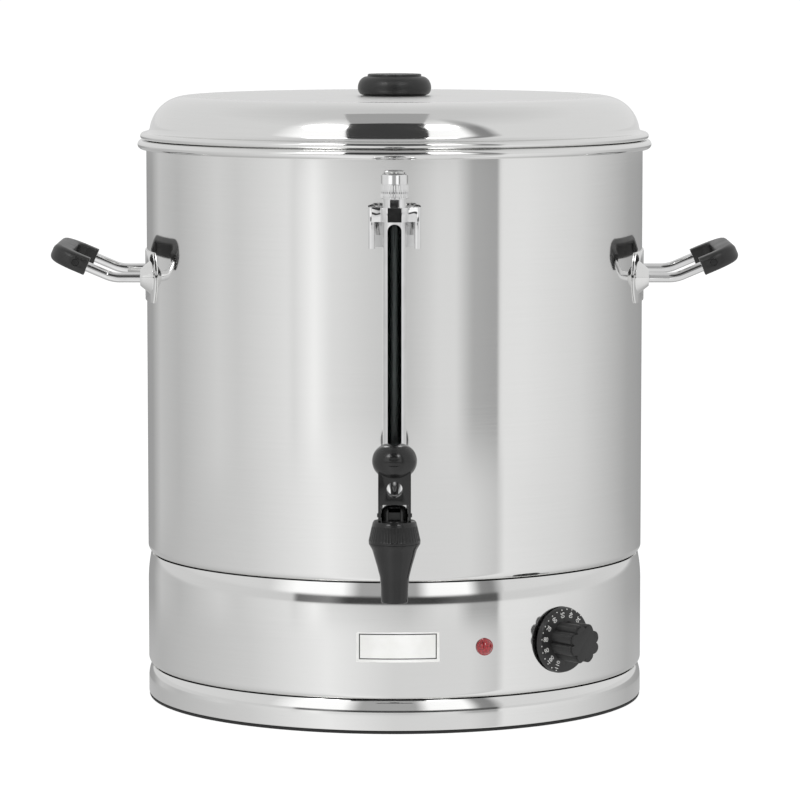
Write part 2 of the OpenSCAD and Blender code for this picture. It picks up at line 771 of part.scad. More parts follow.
module tap_bonnet() {
    knurls = 44;
    lean = atan((bonnet_r - bonnet_top_r - 0.6) / (bonnet_h - 5));
    window_h = head_h + valve_lift + 1;
    pin_slot = pin_r + move_gap;
    slot_foot = pin_z - bonnet_top;
    color("#262626") translate([0, tap_y, bonnet_top]) difference() {
        union() {
            rotate_extrude() polygon([
                [0, -bonnet_h], [bonnet_r - 0.5, -bonnet_h], [bonnet_r, 0.6 - bonnet_h],
                [bonnet_r, 1.8 - bonnet_h], [bonnet_top_r + 0.6, -3.2], [bonnet_top_r + 0.1, -1.2],
                [bonnet_top_r - 0.8, 0], [0, 0]
            ]);
            rotate_extrude() polygon(concat(
                [[0, -1], [hub_r, -1]],
                arc([hub_r - 6, hub_h - 6], 6, 0, 90, 8),
                [[0, hub_h]]
            ));
        }
        for (i = [0 : knurls - 1]) rotate([0, 0, (i + 0.5) * 360 / knurls])
            translate([bonnet_r, 0, 1.8 - bonnet_h]) rotate([0, -lean, 0])
                translate([0.3, 0, 0.5]) cylinder(r = 0.8, h = (bonnet_h - 5) / cos(lean) - 1, $fn = 16);
        translate([0, 0, -bonnet_h - 1]) cylinder(r = neck_r + seat_gap, h = bonnet_h - 7.8 + 1);
        translate([0, 0, -20]) cylinder(r = stem_r + run_gap, h = 30);
        translate([-head_w / 2 - move_gap, -hub_r - 1, 0.4])
            cube([head_w + 2 * move_gap, hub_r + head_d / 2 + 1.3, window_h]);
        translate([-hub_r - 1, 0, slot_foot]) rotate([0, 90, 0]) {
            cylinder(r = pin_slot, h = 2 * hub_r + 2, $fn = 32);
            translate([-valve_lift, 0, 0]) cylinder(r = pin_slot, h = 2 * hub_r + 2, $fn = 32);
            translate([-valve_lift, -pin_slot, 0]) cube([valve_lift, 2 * pin_slot, 2 * hub_r + 2]);
        }
    }
}

// The side view of a fork cheek, with x to the front and y up from the lever pin. The front of its
// foot is an involute of a circle of radius cam_r, so each degree of tilt lifts the valve alike.
function cheek() = concat(
    [[-lever_back + 1.5, -cam_h]],
    [for (a = [0 : lever_tilt / 8 : lever_tilt])
        let (reach = cam_h + cam_r * a * PI / 180)
        [reach * sin(a) + cam_r * cos(a), cam_r * sin(a) - reach * cos(a)]],
    [[lever_front, ball_up - 8], [-lever_back, ball_up - 8], [-lever_back, 1.5 - cam_h]]
);

module tap_lever() {
    cap_r = 13.2;
    grooves = 3;
    color("#1c1c1c") translate([0, tap_y, pin_z]) difference() {
        union() {
            rotate([90, 0, -90]) translate([0, 0, -lever_w / 2]) linear_extrude(lever_w)
                polygon(cheek());
            translate([0, 0, ball_up]) rotate_extrude() difference() {
                union() {
                    translate([ball_d / 2 - cap_r, 0]) circle(cap_r, $fn = 96);
                    translate([0, -cap_r]) square([ball_d / 2 - cap_r, 2 * cap_r]);
                }
                translate([-40, -20]) square([40, 40]);
            }
        }
        translate([-hub_r - move_gap, -lever_front - 1, -cam_h - 1])
            cube([2 * (hub_r + move_gap), lever_front + lever_back + 2, cam_h + 1 + fork_h]);
        to_front(lever_back + 1, 20.5) cylinder(d = lever_hole, h = lever_front + lever_back + 2);
        translate([-lever_w / 2 - 1, 0, 0]) rotate([0, 90, 0])
            cylinder(r = pin_r + run_gap, h = lever_w + 2, $fn = 32);
        for (i = [0 : grooves - 1]) translate([-9, -ball_d / 2 - 0.6, ball_up - 6 + i * 4.5])
            rotate([0, 90, 0]) cylinder(r = 1.4, h = 18, $fn = 24);
    }
}

module lever_pin() {
    color("#3a3a3a") translate([-lever_w / 2 - 0.8, tap_y, pin_z]) rotate([0, 90, 0])
        cylinder(r = pin_r, h = lever_w + 1.6, $fn = 32);
}

module valve_stem() {
    bulb_r = 4.5;
    color("#b0b0b0") translate([0, tap_y, 0]) difference() {
        union() {
            translate([0, 0, seat_z + 2.5]) cylinder(r = bulb_r, h = 2.2, $fn = 32);
            translate([0, 0, seat_z + 2.5]) cylinder(r = stem_r, h = head_z - seat_z, $fn = 32);
            translate([-head_w / 2, -head_d / 2, head_z]) cube([head_w, head_d, head_h]);
        }
        translate([-head_w, 0, pin_z]) rotate([0, 90, 0])
            cylinder(r = pin_r + run_gap, h = 2 * head_w, $fn = 32);
    }
}

module seat_cup() {
    cup_r = 9;
    color("#c8c4b8") translate([0, tap_y, seat_z + 0.2]) difference() {
        rotate_extrude() polygon([
            [0, 0], [cup_r, 0], [cup_r, 3], [cup_r - 3, 5.8], [0, 5.8]
        ]);
        translate([0, 0, 2.3 - seat_gap]) cylinder(r = 4.5 + seat_gap, h = 2.2 + 2 * seat_gap, $fn = 32);
        translate([0, 0, 2.5]) cylinder(r = stem_r + seat_gap, h = 10, $fn = 32);
    }
}

// A coil spring as one tube round a helix, from z0 to z1.
module valve_spring() {
    wire_r = 0.6;
    coil_r = stem_r + 2.2;
    z0 = seat_z + 6.1 + wire_r;
    z1 = plate_under - 2.6 - wire_r;
    turns = 5;
    steps = 12;
    sides = 6;
    rings = turns * steps;
    points = [
        for (i = [0 : rings], k = [0 : sides - 1])
            let (a = 360 * i / steps, b = 360 * k / sides, r = coil_r + wire_r * cos(b))
            [r * cos(a), r * sin(a), z0 + (z1 - z0) * i / rings + wire_r * sin(b)]
    ];
    faces = concat(
        [[for (k = [0 : sides - 1]) k]],
        [[for (k = [sides - 1 : -1 : 0]) rings * sides + k]],
        [for (i = [0 : rings - 1], k = [0 : sides - 1], half = [0, 1])
            let (a = i * sides + k, b = i * sides + (k + 1) % sides)
            half == 0 ? [a, a + sides, b] : [b, a + sides, b + sides]]
    );
    color("#c0c0c0") translate([0, tap_y, 0]) polyhedron(points, faces);
}

module stem_seal() {
    color("#c8c4b8") translate([0, tap_y, plate_under - 2.4])
        ring(stem_r + 3.2, stem_r + run_gap, 2.4, $fn = 32);
}

// ---- Controls ----

function dial_screws() = [-14, 14];
function lamp_body_r() = lamp_d / 2 - 1.2;
function gland_neck_r() = gland_bore / 2 + 4;

// The outline of the fluted grip.
module lobes(r) {
    lobe_r = r * 0.31;
    circle(r * 0.8);
    for (i = [0 : dial_lobes - 1]) rotate([0, 0, (i + 0.5) * 360 / dial_lobes])
        translate([r - lobe_r, 0]) circle(lobe_r, $fn = 32);
}

module thermostat_knob() {
    grip_r = dial_grip_d / 2;
    top = dial_gap + dial_t;
    color("#222222") on_wall(dial_at, control_z) difference() {
        union() {
            translate([0, 0, dial_gap]) rotate_extrude($fn = 96) polygon([
                [0, 0], [dial_d / 2 - 0.4, 0], [dial_d / 2, 0.4], [dial_d / 2 - 1, dial_t - 0.5],
                [dial_d / 2 - 1.6, dial_t], [0, dial_t]
            ]);
            translate([0, 0, top - 1]) linear_extrude(dial_out - top - 0.6) lobes(grip_r);
            translate([0, 0, top]) linear_extrude(dial_out - top) lobes(grip_r - 1.4);
        }
        translate([0, 0, dial_gap - 1]) ring(dial_d / 2 - 4.5, spindle_r + 3, dial_t - 0.7);
        cylinder(r = spindle_r + run_gap, h = dial_out - 8, $fn = 32);
    }
}

module thermostat_spindle() {
    foot = -13;
    color("#c8c8c8") on_wall(dial_at, control_z)
        translate([0, 0, foot]) cylinder(r = spindle_r, h = dial_out - 9 - foot, $fn = 32);
}

module thermostat_body() {
    strap_w = 30;
    strap_l = 44;
    can_r = 21;
    can_h = 24.5;
    can_top = -2.5;
    tag_w = 6.4;
    tag_h = 9;
    color("#d8d0c0") on_wall(dial_at, control_z) difference() {
        union() {
            translate([-strap_w / 2, -strap_l / 2, can_top - 0.5]) cube([strap_w, strap_l, 1.4]);
            translate([0, 0, can_top - can_h]) cylinder(r = can_r, h = can_h);
            for (y = dial_screws()) translate([0, y, -9]) cylinder(r = 4.2, h = 8, $fn = 32);
            for (x = [-9, 0, 9]) translate([x - tag_w / 2, -0.4, can_top - can_h - tag_h + 1])
                cube([tag_w, 0.8, tag_h]);
        }
        translate([0, 0, -14]) cylinder(r = spindle_r + run_gap, h = 20, $fn = 32);
        for (y = dial_screws()) translate([0, y, -8.2])
            cylinder(r = m4_r + run_gap, h = 20, $fn = 24);
    }
}

module thermostat_screws() {
    color("#d0d0d0") on_wall(dial_at, control_z) for (y = dial_screws()) translate([0, y, 0]) {
        translate([0, 0, -7.8]) cylinder(r = m4_r, h = 8, $fn = 24);
        translate([0, 0, seat_gap]) cylinder(r = m4_head_r, h = 1.9, $fn = 32);
    }
}

// The upright plane through the dial: x is the distance from the body axis, y is up.
module dial_plane() {
    rotate([0, 0, dial_at - 90]) rotate([90, 0, 0]) children();
}

bulb_d = 6.5;
bulb_r0 = body_r * 0.2;
bulb_len = 80;
bulb_z = floor_z - bulb_d / 2 - 0.2;

module thermostat_bulb() {
    color("#c08050") dial_plane() translate([bulb_r0, bulb_z, 0]) rotate([0, 90, 0])
        cylinder(d = bulb_d, h = bulb_len, $fn = 32);
}

module capillary() {
    tube_r = 1;
    turn_r = 8;
    rise_x = bulb_r0 + bulb_len + 16;
    start_z = control_z + 12;
    start_x = body_r - 27;
    color("#c08050") dial_plane() {
        translate([rise_x + turn_r, start_z, 0]) rotate([0, 90, 0])
            cylinder(r = tube_r, h = start_x - rise_x - turn_r, $fn = 24);
        translate([rise_x + turn_r, start_z + turn_r, 0]) rotate([0, 0, 180])
            rotate_extrude(angle = 90) translate([turn_r, 0]) circle(tube_r, $fn = 24);
        translate([rise_x, start_z + turn_r, 0]) rotate([-90, 0, 0])
            cylinder(r = tube_r, h = bulb_z - start_z - 2 * turn_r, $fn = 24);
        translate([rise_x - turn_r, bulb_z - turn_r, 0])
            rotate_extrude(angle = 90) translate([turn_r, 0]) circle(tube_r, $fn = 24);
        translate([bulb_r0 + bulb_len, bulb_z, 0]) rotate([0, 90, 0])
            cylinder(r = tube_r, h = rise_x - turn_r - bulb_r0 - bulb_len, $fn = 24);
    }
}

module bulb_clips() {
    clip_r = bulb_d / 2 + 0.2;
    color("#b0b0b0") dial_plane() for (x = [0.25, 0.75]) translate([bulb_r0 + bulb_len * x, bulb_z, 0])
        rotate([0, 90, 0]) rotate([0, 0, -90]) translate([0, 0, -4]) linear_extrude(8) {
            difference() {
                circle(clip_r + 0.8, $fn = 32);
                circle(clip_r, $fn = 32);
                translate([-20, -20]) square([20, 40]);
            }
            for (s = [-1, 1]) {
                translate([-clip_r, s * (clip_r + 0.4) - 0.4]) square([clip_r, 0.8]);
                translate([-clip_r, s > 0 ? clip_r : -clip_r - 7]) square([0.8, 7]);
            }
        }
}

module lamp_lens() {
    dome_h = 4;
    base_r = lamp_d / 2 - 0.7;
    dome_r = (base_r * base_r + dome_h * dome_h) / (2 * dome_h);
    color("#a01818") on_wall(lamp_at, control_z) {
        translate([0, 0, 0.3]) cylinder(d = lamp_d, h = 1.2);
        intersection() {
            translate([0, 0, 1.5 + dome_h - dome_r]) sphere(dome_r);
            translate([0, 0, 1]) cylinder(d = lamp_d, h = 10);
        }
    }
}

module lamp_body() {
    color("#303030") on_wall(lamp_at, control_z) {
        translate([0, 0, -22]) cylinder(r = lamp_body_r(), h = 22.3);
        for (x = [-3, 3]) translate([x - 1.4, -0.4, -30]) cube([2.8, 0.8, 9]);
    }
}

module lamp_nut() {
    color("#303030") on_wall(lamp_at, control_z) translate([0, 0, -4.9])
        hex_nut(2 * lamp_body_r() + 6, lamp_body_r() + seat_gap, 3.5);
}

module cable_gland() {
    neck_r = gland_neck_r();
    color("#2a2a2a") on_wall(180, control_z) difference() {
        union() {
            translate([0, 0, -12]) cylinder(r = neck_r, h = 14);
            translate([0, 0, 0.5]) cylinder(r = neck_r + 4, h = 5.5, $fn = 6);
            translate([0, 0, 5]) rotate_extrude() polygon([
                [0, 0], [neck_r + 2, 0], [neck_r + 2, 8], [neck_r, 11], [gland_bore / 2 + 1.5, 12.5], [0, 12.5]
            ]);
        }
        translate([0, 0, -20]) cylinder(d = gland_bore, h = 60);
    }
}

module gland_nut() {
    color("#2a2a2a") on_wall(180, control_z) translate([0, 0, -7.4])
        hex_nut(2 * gland_neck_r() + 6, gland_neck_r() + seat_gap, 6);
}

// ---- Heating ----

function bush_r() = element_r + 3;
function element_end(at, way) =
    let (p = element_ring_r * [cos(at), sin(at)], t = way * [-sin(at), cos(at)])
    p + (element_run + element_bend) * t;
function element_legs() = [element_end(element_from, -1), element_end(element_to, 1)];

module heating_element() {
    tail = 24;
    drop = element_z - element_bend - (floor_z - tail);
    color("#a8a8a8") {
        translate([0, 0, element_z]) rotate([0, 0, element_from])
            rotate_extrude(angle = element_to - element_from, $fn = 96)
                translate([element_ring_r, 0]) circle(element_r);
        for (end = [[element_from, 1], [element_to, 0]]) rotate([0, 0, end[0]])
            translate([element_ring_r, 0, element_z]) mirror([0, end[1], 0]) {
                rotate([-90, 0, 0]) bar(element_r, element_run);
                translate([0, element_run, -element_bend]) rotate([0, 90, 0]) rotate([0, 0, 90])
                    rotate_extrude(angle = 90) translate([element_bend, 0]) circle(element_r);
                translate([0, element_run + element_bend, -element_bend - drop]) bar(element_r, drop);
            }
    }
}

module element_bushes() {
    color("#c0a050") for (p = element_legs()) translate([p[0], p[1], 0]) difference() {
        union() {
            translate([0, 0, floor_top + 1.5]) cylinder(r = bush_r() + 3, h = 4, $fn = 6);
            translate([0, 0, floor_z - 11]) cylinder(r = bush_r(), h = 15, $fn = 32);
        }
        translate([0, 0, floor_z - 20]) cylinder(r = element_r + run_gap, h = 60, $fn = 32);
    }
}

module element_gaskets() {
    color("#d8d4c8") for (p = element_legs()) translate([p[0], p[1], floor_top])
        ring(bush_r() + 4, bush_r() + seat_gap, 1.5);
}

module element_nuts() {
    color("#c0a050") for (p = element_legs()) translate([p[0], p[1], floor_z - 6])
        hex_nut(2 * bush_r() + 8, bush_r() + seat_gap, 6);
}

function cutout_studs() = [-12, 12];

module thermal_cutout() {
    plate_h = 1.2;
    color("#e0d8c8") difference() {
        union() {
            translate([-17, -8, floor_z - plate_h]) cube([34, 16, plate_h]);
            translate([0, 0, floor_z - 12]) cylinder(r = 8, h = 11);
            for (x = [-1, 1]) translate([x * 4 - 1.5, -3.2, floor_z - 20]) cube([3, 6.4, 9]);
        }
        for (x = cutout_studs()) translate([x, 0, floor_z - 5])
            cylinder(r = 1.5 + seat_gap, h = 10, $fn = 24);
    }
}

module cutout_nuts() {
    color("#c8c8c8") for (x = cutout_studs()) translate([x, 0, floor_z - 3.8])
        hex_nut(5.5, 1.5 + seat_gap, 2.6);
}

module terminal_block() {
    poles = 3;
    pitch = 14;
    color("#e8e4d8") translate([-60, body_r * 0.7, ring_top - sheet_t]) difference() {
        union() {
            translate([-poles * pitch / 2, -11, 0]) cube([poles * pitch, 22, 8]);
            for (i = [0 : poles - 1]) translate([(i - 1) * pitch - 5, -9, 7]) cube([10, 18, 10]);
        }
        for (i = [0 : poles - 1]) translate([(i - 1) * pitch, 0, 0]) {
            translate([0, 12, 12]) rotate([90, 0, 0]) cylinder(r = 2.4, h = 24, $fn = 24);
            for (y = [-5, 5]) translate([0, y, 12]) cylinder(r = 2, h = 10, $fn = 24);
        }
    }
}

module earth_stud() {
    color("#c8a860") translate([0, body_r * 0.78, ring_top - sheet_t]) {
        cylinder(r = m4_r, h = 14, $fn = 24);
        cylinder(d = 7 / cos(30), h = 3.2, $fn = 6);
    }
}

rubber_edging();
base_ring();
bottom_plate();
plate_screws();
base_housing();
tank_wall();
tank_rim();
tank_floor();
lid();
lid_knob();
lid_knob_screw();
lid_knob_washer();
handle_rod(-1);  // left_handle_rod
handle_rod(1);  // right_handle_rod
handle_plate(-1);  // left_handle_plate
handle_plate(1);  // right_handle_plate
grip(-1);  // left_grip
grip(1);  // right_grip
grip_screws(-1);  // left_grip_screws
grip_screws(1);  // right_grip_screws
gauge_base();
shank_washers();
shank_nut();
gauge_glass();
gauge_guard();
gauge_bracket();
bracket_washer();
bracket_nut();
gauge_cap();
cap_washer();
glass_seal();
tap_body();
tap_bonnet();
tap_lever();
lever_pin();
valve_stem();
seat_cup();
valve_spring();
stem_seal();
thermostat_knob();
thermostat_spindle();
thermostat_body();
thermostat_screws();
thermostat_bulb();
capillary();
bulb_clips();
lamp_lens();
lamp_body();
lamp_nut();
heating_element();
element_bushes();
element_gaskets();
element_nuts();
thermal_cutout();
cutout_nuts();
terminal_block();
earth_stud();
cable_gland();
gland_nut();
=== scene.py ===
# Hot water urn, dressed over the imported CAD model: a bright steel body with a lid, two handles, a
# sight gauge, a lever tap, a lamp and a thermostat dial. Metres; +Z up, the front faces -Y.
import math

import bmesh
import bpy
from mathutils import Matrix, Vector


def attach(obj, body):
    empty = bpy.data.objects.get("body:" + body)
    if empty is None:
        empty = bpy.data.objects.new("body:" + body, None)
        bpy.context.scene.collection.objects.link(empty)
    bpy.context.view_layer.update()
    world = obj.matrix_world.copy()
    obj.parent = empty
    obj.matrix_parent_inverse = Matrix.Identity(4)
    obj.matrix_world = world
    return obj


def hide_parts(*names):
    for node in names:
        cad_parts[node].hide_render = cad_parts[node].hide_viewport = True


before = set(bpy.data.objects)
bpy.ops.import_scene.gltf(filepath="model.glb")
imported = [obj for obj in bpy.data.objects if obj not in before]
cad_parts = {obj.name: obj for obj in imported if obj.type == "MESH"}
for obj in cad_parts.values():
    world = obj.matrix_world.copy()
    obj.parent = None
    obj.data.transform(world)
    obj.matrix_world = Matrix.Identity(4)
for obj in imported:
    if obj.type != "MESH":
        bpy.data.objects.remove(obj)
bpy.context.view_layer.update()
scene = bpy.context.scene


# ---- Camera and studio ----
# The camera stands where the photograph was taken from. The world is the studio: a bright tent
# with a card, a gap and a lamp bank in front, which the steel mirrors in its upright bands.

look_down, look_right = 5.877, 0.0727
camera_data = bpy.data.cameras.new("camera")
camera_data.lens = 194.94
camera_data.sensor_width = 36.0
camera = bpy.data.objects.new("camera", camera_data)
camera.location = (0.0, -3.498, 0.5989)
camera.rotation_euler = (math.radians(90 - look_down), 0.0, math.radians(-look_right))
scene.collection.objects.link(camera)
scene.camera = camera
scene.view_settings.view_transform = "Standard"


def rgb(code):
    """A linear colour from its sRGB hex code."""
    parts = [int(code[i:i + 2], 16) / 255 for i in (0, 2, 4)]
    return [c / 12.92 if c < 0.04045 else ((c + 0.055) / 1.055) ** 2.4 for c in parts] + [1.0]


def grey(level):
    return [level, level, level, 1.0]


def add(tree, kind, inputs=None, **settings):
    """Adds a node; an input is a number, a colour or another node's output."""
    made = tree.nodes.new("ShaderNode" + kind)
    for name, value in settings.items():
        setattr(made, name, value)
    for name, value in (inputs or {}).items():
        if isinstance(value, bpy.types.NodeSocket):
            tree.links.new(value, made.inputs[name])
        else:
            made.inputs[name].default_value = value
    return made


def math_node(tree, operation, *values):
    return add(tree, "Math", dict(enumerate(values)), operation=operation).outputs[0]


def ramp(tree, factor, stops):
    """A colour ramp through (position, colour) stops; a colour is a hex code or a grey level."""
    made = add(tree, "ValToRGB", {"Fac": factor})
    elements = made.color_ramp.elements
    while len(elements) < len(stops):
        elements.new(0.5)
    for element, (position, colour) in zip(elements, stops):
        element.position = position
        element.color = rgb(colour) if isinstance(colour, str) else grey(colour)
    return made.outputs["Color"]


def round_ramp(tree, turn, *stops):
    """Grey levels round the studio, at angles in degrees from the front and to the right."""
    return ramp(tree, turn, [((degrees + 180) / 360, level) for degrees, level in stops])


def height_ramp(tree, height, start, end, first=0.0, last=1.0):
    """A change from one level to another between two heights over the horizon, in degrees."""
    return ramp(tree, height, [(0.5 + start / 180, first), (0.5 + end / 180, last)])


def studio_world():
    world = bpy.data.worlds.new("studio")
    world.use_nodes = True
    tree = world.node_tree
    tree.nodes.clear()
    way = add(tree, "TexCoord").outputs["Generated"]
    x, y, z = add(tree, "SeparateXYZ", {0: way}).outputs
    azimuth = math_node(tree, "ARCTAN2", x, math_node(tree, "MULTIPLY", y, -1.0))
    turn = math_node(tree, "MULTIPLY_ADD", azimuth, 0.5 / math.pi, 0.5)
    height = math_node(tree, "MULTIPLY_ADD", math_node(tree, "ARCSINE", z), 1 / math.pi, 0.5)
    colour = round_ramp(
        tree, turn, (-180, 0.30), (-153, 0.38), (-140, 0.60), (-119, 0.54), (-89, 0.73),
        (-77, 0.69), (-50, 0.86), (-47, 0.80), (-37, 1.04), (-29, 0.84), (-12, 0.72), (6, 0.62),
        (20, 0.80), (28, 0.80), (36, 0.47), (48.8, 0.41), (49.3, 0.88), (62, 0.88), (95, 0.76),
        (138, 0.44), (180, 0.30))
    ground = round_ramp(
        tree, turn, (-140, 0.50), (-70, 0.71), (-31, 0.97), (0, 0.76), (35, 0.78), (48, 0.66),
        (52, 0.88), (90, 0.76), (140, 0.48))
    gap = round_ramp(
        tree, turn, (-47, 0.70), (-46, 0.16), (-30, 0.26), (-22, 0.06), (18, 0.05), (30, 0.12),
        (48.8, 0.10), (49.5, 0.72))
    bank = round_ramp(
        tree, turn, (-60, 0.76), (-46, 1.20), (-24, 1.20), (-16, 0.42), (10, 0.42), (16, 1.15),
        (34, 1.20), (40, 0.30), (46, 0.26), (52, 0.78))
    for factor, over in (
            (height_ramp(tree, height, -9.6, -8.4, 1.0, 0.0), ground),
            (height_ramp(tree, height, -2.3, -1.6), gap),
            (height_ramp(tree, height, 3.5, 5.5), bank),
            (height_ramp(tree, height, 40, 70), grey(0.66))):
        mixed = add(tree, "MixRGB", {"Fac": factor, "Color1": colour, "Color2": over})
        colour = mixed.outputs[0]
    lamp_level, lamp_edge = 7.0, 4
    for side, up, wide in ((-38, 42, 10), (24, 44, 9)):
        side, up = math.radians(side), math.radians(up)
        aim = Vector((math.sin(side), -math.cos(side), math.tan(up))).normalized()
        off = add(tree, "VectorMath", {0: way, 1: aim}, operation="DISTANCE").outputs["Value"]
        lit = add(tree, "MapRange", {0: off, 1: math.radians(wide),
                                     2: math.radians(wide - lamp_edge), 3: 0.0, 4: lamp_level})
        both = add(tree, "VectorMath", {0: colour, 1: lit.outputs[0]}, operation="ADD")
        colour = both.outputs[0]
    seen = add(tree, "Background", {"Color": grey(1.0), "Strength": 1.05})
    light = add(tree, "Background", {"Color": colour, "Strength": 1.0})
    either = add(tree, "MixShader", {0: add(tree, "LightPath").outputs["Is Camera Ray"],
                                     1: light.outputs[0], 2: seen.outputs[0]})
    tree.links.new(either.outputs[0], add(tree, "OutputWorld").inputs["Surface"])
    scene.world = world


def stage_sheet(name, corners, material):
    mesh = bpy.data.meshes.new(name)
    mesh.from_pydata(corners, [], [range(len(corners))])
    mesh.materials.append(material)
    made = bpy.data.objects.new(name, mesh)
    scene.collection.objects.link(made)
    return made


def stage_material(name, glow, shade):
    """A dull surface that glows; glow and shade are grey levels."""
    material = bpy.data.materials.new(name)
    material.use_nodes = True
    tree = material.node_tree
    tree.nodes.clear()
    both = add(tree, "AddShader", {
        0: add(tree, "Emission", {"Color": grey(glow)}).outputs[0],
        1: add(tree, "BsdfDiffuse", {"Color": grey(shade)}).outputs[0],
    })
    tree.links.new(both.outputs[0], add(tree, "OutputMaterial").inputs["Surface"])
    return material


studio_world()

# The floor glows a little, so that it stays as pale as the photograph's and keeps a faint shadow.
reach = 6.0
floor = stage_sheet(
    "floor", [(-reach, -reach, 0), (reach, -reach, 0), (reach, reach, 0), (-reach, reach, 0)],
    stage_material("floor", 0.9, 0.2))
floor.visible_glossy = False

# Cards that only mirrors see: a dark one over the camera and a grey one above it, for the lid's
# shoulder, and two small black ones before the gauge, for its bracket and the wall behind that.
dark_card = stage_material("dark_card", 0.035, 0.02)
black_card = stage_material("black_card", 0.012, 0.01)
grey_card = stage_material("grey_card", 0.38, 0.02)
front, top, back = -0.95, 1.7, -0.1
near = -0.75
for name, material, corners in (
        ("lid_card", dark_card,
         [(-0.345, front, 0.6), (0.24, front, 0.6), (0.29, front, top), (-0.45, front, top)]),
        ("top_card", grey_card,
         [(-0.45, front, top), (0.29, front, top), (0.2, back, top), (-0.29, back, top)]),
        ("gauge_card", black_card,
         [(-0.026, near, 0.364), (0.026, near, 0.364),
          (0.026, near, 0.388), (-0.026, near, 0.388)]),
        ("wall_card", black_card,
         [(-0.1, near, 0.341), (0.1, near, 0.341), (0.1, near, 0.364), (-0.1, near, 0.364)])):
    card = stage_sheet(name, corners, material)
    card.visible_camera = False
    card.visible_diffuse = False
    card.visible_shadow = False


# ---- Base ring and its edging ----
# The urn stands on a rubber edging that grips the foot of a pressed steel ring. The ring's
# shoulder turns in to a ledge that carries the housing, and a vented plate closes it from below.

def new_material(name, **sockets):
    """A Principled material, with its node tree, its shader and the object coordinates."""
    material = bpy.data.materials.new(name)
    material.use_nodes = True
    tree = material.node_tree
    shader = tree.nodes["Principled BSDF"]
    for socket, value in sockets.items():
        shader.inputs[socket.replace("_", " ")].default_value = value
    return material, tree, shader, add(tree, "TexCoord").outputs["Object"]


def noise(tree, vector, scale, detail=4.0, roughness=0.5):
    return add(tree, "TexNoise", {"Vector": vector, "Scale": scale, "Detail": detail,
                                  "Roughness": roughness}).outputs["Fac"]


def spread(tree, value, low, high):
    """Maps a noise onto the range from low to high."""
    return add(tree, "MapRange", {0: value, 1: 0.3, 2: 0.7, 3: low, 4: high}).outputs[0]


def bumped(tree, shader, height, strength, distance):
    bump = add(tree, "Bump", {"Height": height, "Strength": strength, "Distance": distance})
    tree.links.new(bump.outputs[0], shader.inputs["Normal"])


def round_the_axis(tree, vector, round_scale, up_scale):
    """Coordinates that run round the body and up it, for lines rolled or brushed round a shell."""
    way = add(tree, "SeparateXYZ", {0: vector})
    angle = math_node(tree, "ARCTAN2", way.outputs[0], way.outputs[1])
    return add(tree, "CombineXYZ", {
        0: math_node(tree, "MULTIPLY", math_node(tree, "SINE", angle), round_scale),
        1: math_node(tree, "MULTIPLY", math_node(tree, "COSINE", angle), round_scale),
        2: math_node(tree, "MULTIPLY", way.outputs[2], up_scale),
    }).outputs[0]


def steel(name, light, dark, smooth, rough, up_scale, strength, flat_top=0.0):
    """Sheet steel with fine lines round it; smooth and rough are its range of roughness, and
    flat_top is what a lid's flat top adds to it."""
    material, tree, shader, place = new_material(name, Metallic=1.0)
    rolled = round_the_axis(tree, place, 3.0, up_scale)
    lines = noise(tree, rolled, 1.0, detail=6.0, roughness=0.6)
    tree.links.new(ramp(tree, lines, [(0.3, dark), (0.7, light)]), shader.inputs["Base Color"])
    grain = spread(tree, lines, smooth, rough)
    if flat_top:
        inner, outer = 0.150, 0.172
        level = add(tree, "Mapping", {"Vector": place, "Scale": (1, 1, 0)}).outputs[0]
        out = add(tree, "VectorMath", {0: level}, operation="LENGTH").outputs["Value"]
        more = add(tree, "MapRange", {0: out, 1: inner, 2: outer, 3: flat_top, 4: 0.0})
        grain = math_node(tree, "ADD", grain, more.outputs[0])
    tree.links.new(grain, shader.inputs["Roughness"])
    bumped(tree, shader, lines, strength, 0.0002)
    return material


def clouded(name, light, dark, smooth, rough, scale, edge, **sockets):
    """A material whose colour and roughness vary in soft clouds."""
    material, tree, shader, place = new_material(name, **sockets)
    cloud = noise(tree, place, scale)
    colour = ramp(tree, cloud, [(edge, dark), (1 - edge, light)])
    tree.links.new(colour, shader.inputs["Base Color"])
    tree.links.new(spread(tree, cloud, smooth, rough), shader.inputs["Roughness"])
    return material, tree, shader, place


def plastic(name, light, dark, smooth, rough, grain, strength):
    """Moulded plastic or rubber with a fine grain."""
    material, tree, shader, place = clouded(name, light, dark, smooth, rough, 60.0, 0.35)
    bumped(tree, shader, noise(tree, place, grain, detail=2.0), strength, 0.0001)
    return material


def plated(name, light, dark, smooth, rough):
    """Polished or plated metal with faint clouds and wipe marks."""
    return clouded(name, light, dark, smooth, rough, 90.0, 0.3, Metallic=1.0)[0]


# Points closer than this are one, and faces that meet at more than this angle meet in an edge.
close = 1e-6
sharp_angle = math.radians(35)

# Millimetres, as in every outline: the wall's outer radius, the ledges' inner one, the sheet's
# thickness, the depth of the grooves between the shells, and the heights of the ledges.
body_r, ledge_r = 200, 182
sheet_t, groove = 0.8, 2.4
ring_top, housing_top = 26.0, 117.4


def dress(material, *nodes):
    """Gives a material to CAD nodes whose own shape stays."""
    for node in nodes:
        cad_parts[node].data.materials.clear()
        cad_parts[node].data.materials.append(material)


def piece(name, mesh, material, body, *replaced):
    """Puts a mesh in the scene, gives it its material and body, and hides the nodes it replaces."""
    mesh.materials.clear()
    mesh.materials.append(material)
    made = bpy.data.objects.new(name, mesh)
    scene.collection.objects.link(made)
    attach(made, body)
    if replaced:
        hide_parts(*replaced)
    return made


